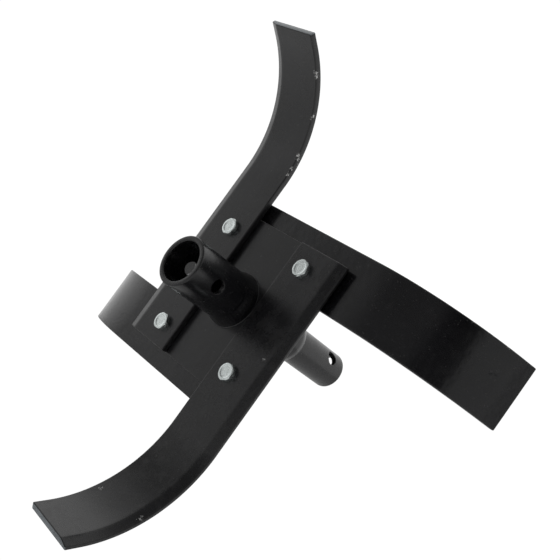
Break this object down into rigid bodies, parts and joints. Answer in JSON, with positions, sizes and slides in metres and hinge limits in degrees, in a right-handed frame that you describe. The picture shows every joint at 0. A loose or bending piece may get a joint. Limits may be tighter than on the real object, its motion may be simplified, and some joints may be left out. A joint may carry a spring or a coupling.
{
  "type": "rotary hoe wheel",
  "caption": "Rotary hoe wheel for a tiller: a square flange on a pinned hub tube with a stub end, carrying bent, bevel-edged tines bolted on in opposed pairs.",
  "frame": {"origin": "on the turning axis, at the middle of the flange's thickness", "axes": "the wheel spins about Y; -Y points out of the socket mouth, +Y along the stub; the first front tine points to +Z and the first back tine to +X"},
  "size_m": [0.3912, 0.2014, 0.3858],
  "materials": {
    "hub_paint": "satin black paint over welded steel",
    "tine_paint": "semi-gloss black paint over bent flat steel bar",
    "zinc_plate": "bright zinc plate"
  },
  "bodies": {
    "root": {"flange_plate": "hub_paint", "hub_tube": "hub_paint", "stub_tube": "hub_paint", "weld_flange_front": "hub_paint", "weld_flange_back": "hub_paint", "weld_stub": "hub_paint", "tine_front_1": "tine_paint", "tine_front_2": "tine_paint", "tine_back_1": "tine_paint", "tine_back_2": "tine_paint", "bolt_1": "zinc_plate", "spring_washer_1": "zinc_plate", "nut_1": "zinc_plate", "bolt_2": "zinc_plate", "spring_washer_2": "zinc_plate", "nut_2": "zinc_plate", "bolt_3": "zinc_plate", "spring_washer_3": "zinc_plate", "nut_3": "zinc_plate", "bolt_4": "zinc_plate", "spring_washer_4": "zinc_plate", "nut_4": "zinc_plate"}
  },
  "joints": []
}
